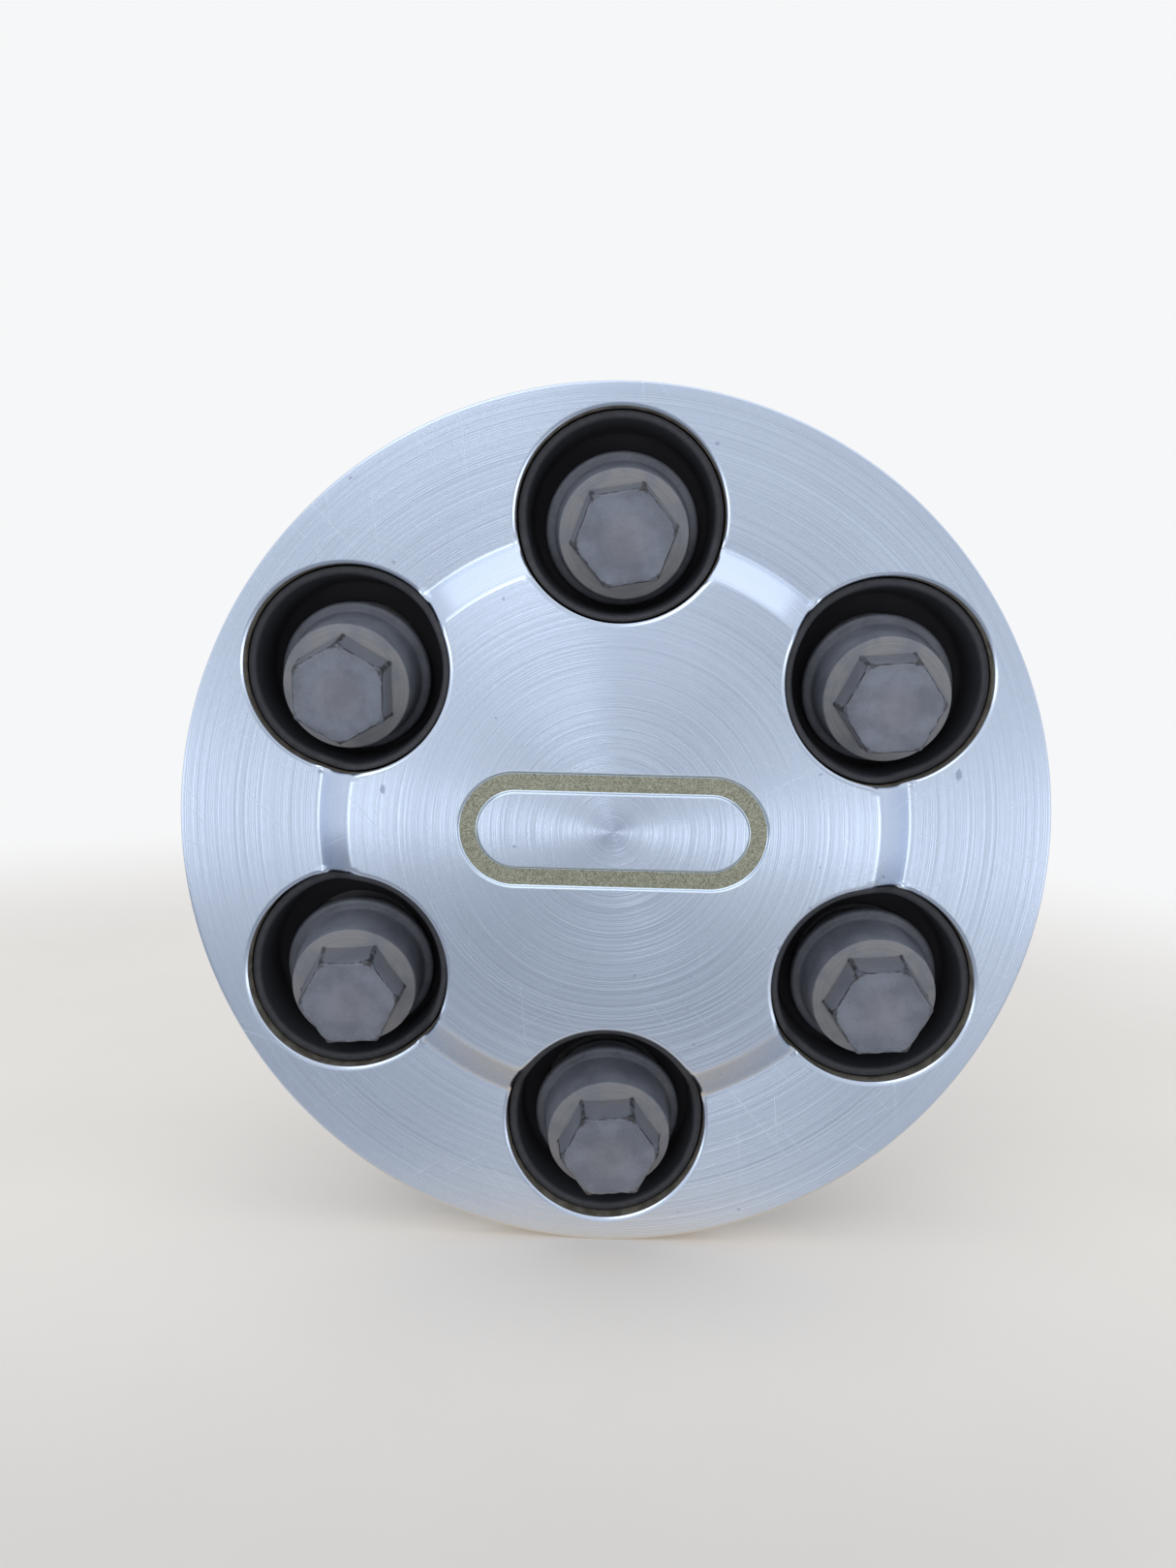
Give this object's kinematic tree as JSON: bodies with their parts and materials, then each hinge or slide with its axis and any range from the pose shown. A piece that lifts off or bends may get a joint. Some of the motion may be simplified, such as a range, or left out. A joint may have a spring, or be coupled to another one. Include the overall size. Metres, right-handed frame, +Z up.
{
  "type": "wheel centre cap",
  "caption": "Round wheel centre cap with a dished aluminium face, a raised hub and lug cups that hold loose hex nut caps, which screw onto the wheel nuts.",
  "frame": {"origin": "centre of the lug circle, on the plane of the six lug seats behind the cups", "axes": "+Y along the wheel's axis towards the wheel, so that the face looks along -Y; +Z up through the top lug position; +X to the right as seen from the front"},
  "size_m": [0.1968, 0.038, 0.1968],
  "materials": {
    "face_aluminium": "turned, with fine concentric lines, and a gold painted recess",
    "backing_plastic": "moulded black",
    "cup_plastic": "satin black",
    "cap_plastic": "worn charcoal",
    "ring_steel": "plain spring steel"
  },
  "bodies": {
    "cover": {"face_plate": "face_aluminium", "backing_plate": "backing_plastic", "lug_cup_1": "cup_plastic", "lug_cup_2": "cup_plastic", "lug_cup_3": "cup_plastic", "lug_cup_4": "cup_plastic", "lug_cup_5": "cup_plastic", "lug_cup_6": "cup_plastic"},
    "retainer_1": {"retaining_ring_1": "ring_steel"},
    "cap_1": {"nut_cap_1": "cap_plastic"},
    "retainer_2": {"retaining_ring_2": "ring_steel"},
    "cap_2": {"nut_cap_2": "cap_plastic"},
    "retainer_3": {"retaining_ring_3": "ring_steel"},
    "cap_3": {"nut_cap_3": "cap_plastic"},
    "retainer_4": {"retaining_ring_4": "ring_steel"},
    "cap_4": {"nut_cap_4": "cap_plastic"},
    "retainer_5": {"retaining_ring_5": "ring_steel"},
    "cap_5": {"nut_cap_5": "cap_plastic"},
    "retainer_6": {"retaining_ring_6": "ring_steel"},
    "cap_6": {"nut_cap_6": "cap_plastic"}
  },
  "joints": [
    {"name": "cap_1_tilt", "type": "hinge", "parent": "cover", "child": "retainer_1", "pos_m": [0.00021, -0.00125, 0.06877], "axis": [-0.9816, 0, -0.1908], "range_deg": [0, 9.5]},
    {"name": "cap_1_spin", "type": "hinge", "parent": "retainer_1", "child": "cap_1", "pos_m": [0.00021, -0.00125, 0.06877], "axis": [0.0315, -0.9863, -0.162], "continuous": true},
    {"name": "cap_2_tilt", "type": "hinge", "parent": "cover", "child": "retainer_2", "pos_m": [0.06049, -0.00125, 0.03383], "axis": [-1, 0, 0], "range_deg": [0, 9.5]},
    {"name": "cap_2_spin", "type": "hinge", "parent": "retainer_2", "child": "cap_2", "pos_m": [0.06049, -0.00125, 0.03383], "axis": [0, -0.9863, -0.165], "continuous": true},
    {"name": "cap_3_tilt", "type": "hinge", "parent": "cover", "child": "retainer_3", "pos_m": [0.06072, -0.00125, -0.03572], "axis": [-0.9613, 0, -0.2756], "range_deg": [-2.38, 7.12]},
    {"name": "cap_3_spin", "type": "hinge", "parent": "retainer_3", "child": "cap_3", "pos_m": [0.06072, -0.00125, -0.03572], "axis": [0.0342, -0.9923, -0.1192], "continuous": true},
    {"name": "cap_4_tilt", "type": "hinge", "parent": "cover", "child": "retainer_4", "pos_m": [0.00025, -0.00125, -0.07086], "axis": [-0.9703, 0, -0.2419], "range_deg": [-0.47, 9.03]},
    {"name": "cap_4_spin", "type": "hinge", "parent": "retainer_4", "child": "cap_4", "pos_m": [0.00025, -0.00125, -0.07086], "axis": [0.0379, -0.9876, -0.1522], "continuous": true},
    {"name": "cap_5_tilt", "type": "hinge", "parent": "cover", "child": "retainer_5", "pos_m": [-0.06015, -0.00125, -0.03597], "axis": [-0.9511, 0, -0.309], "range_deg": [0, 9.5]},
    {"name": "cap_5_spin", "type": "hinge", "parent": "retainer_5", "child": "cap_5", "pos_m": [-0.06015, -0.00125, -0.03597], "axis": [0.051, -0.9863, -0.157], "continuous": true},
    {"name": "cap_6_tilt", "type": "hinge", "parent": "cover", "child": "retainer_6", "pos_m": [-0.06059, -0.00125, 0.03383], "axis": [-0.9962, 0, 0.0872], "range_deg": [0, 9.5]},
    {"name": "cap_6_spin", "type": "hinge", "parent": "retainer_6", "child": "cap_6", "pos_m": [-0.06059, -0.00125, 0.03383], "axis": [-0.0144, -0.9863, -0.1644], "continuous": true}
  ]
}
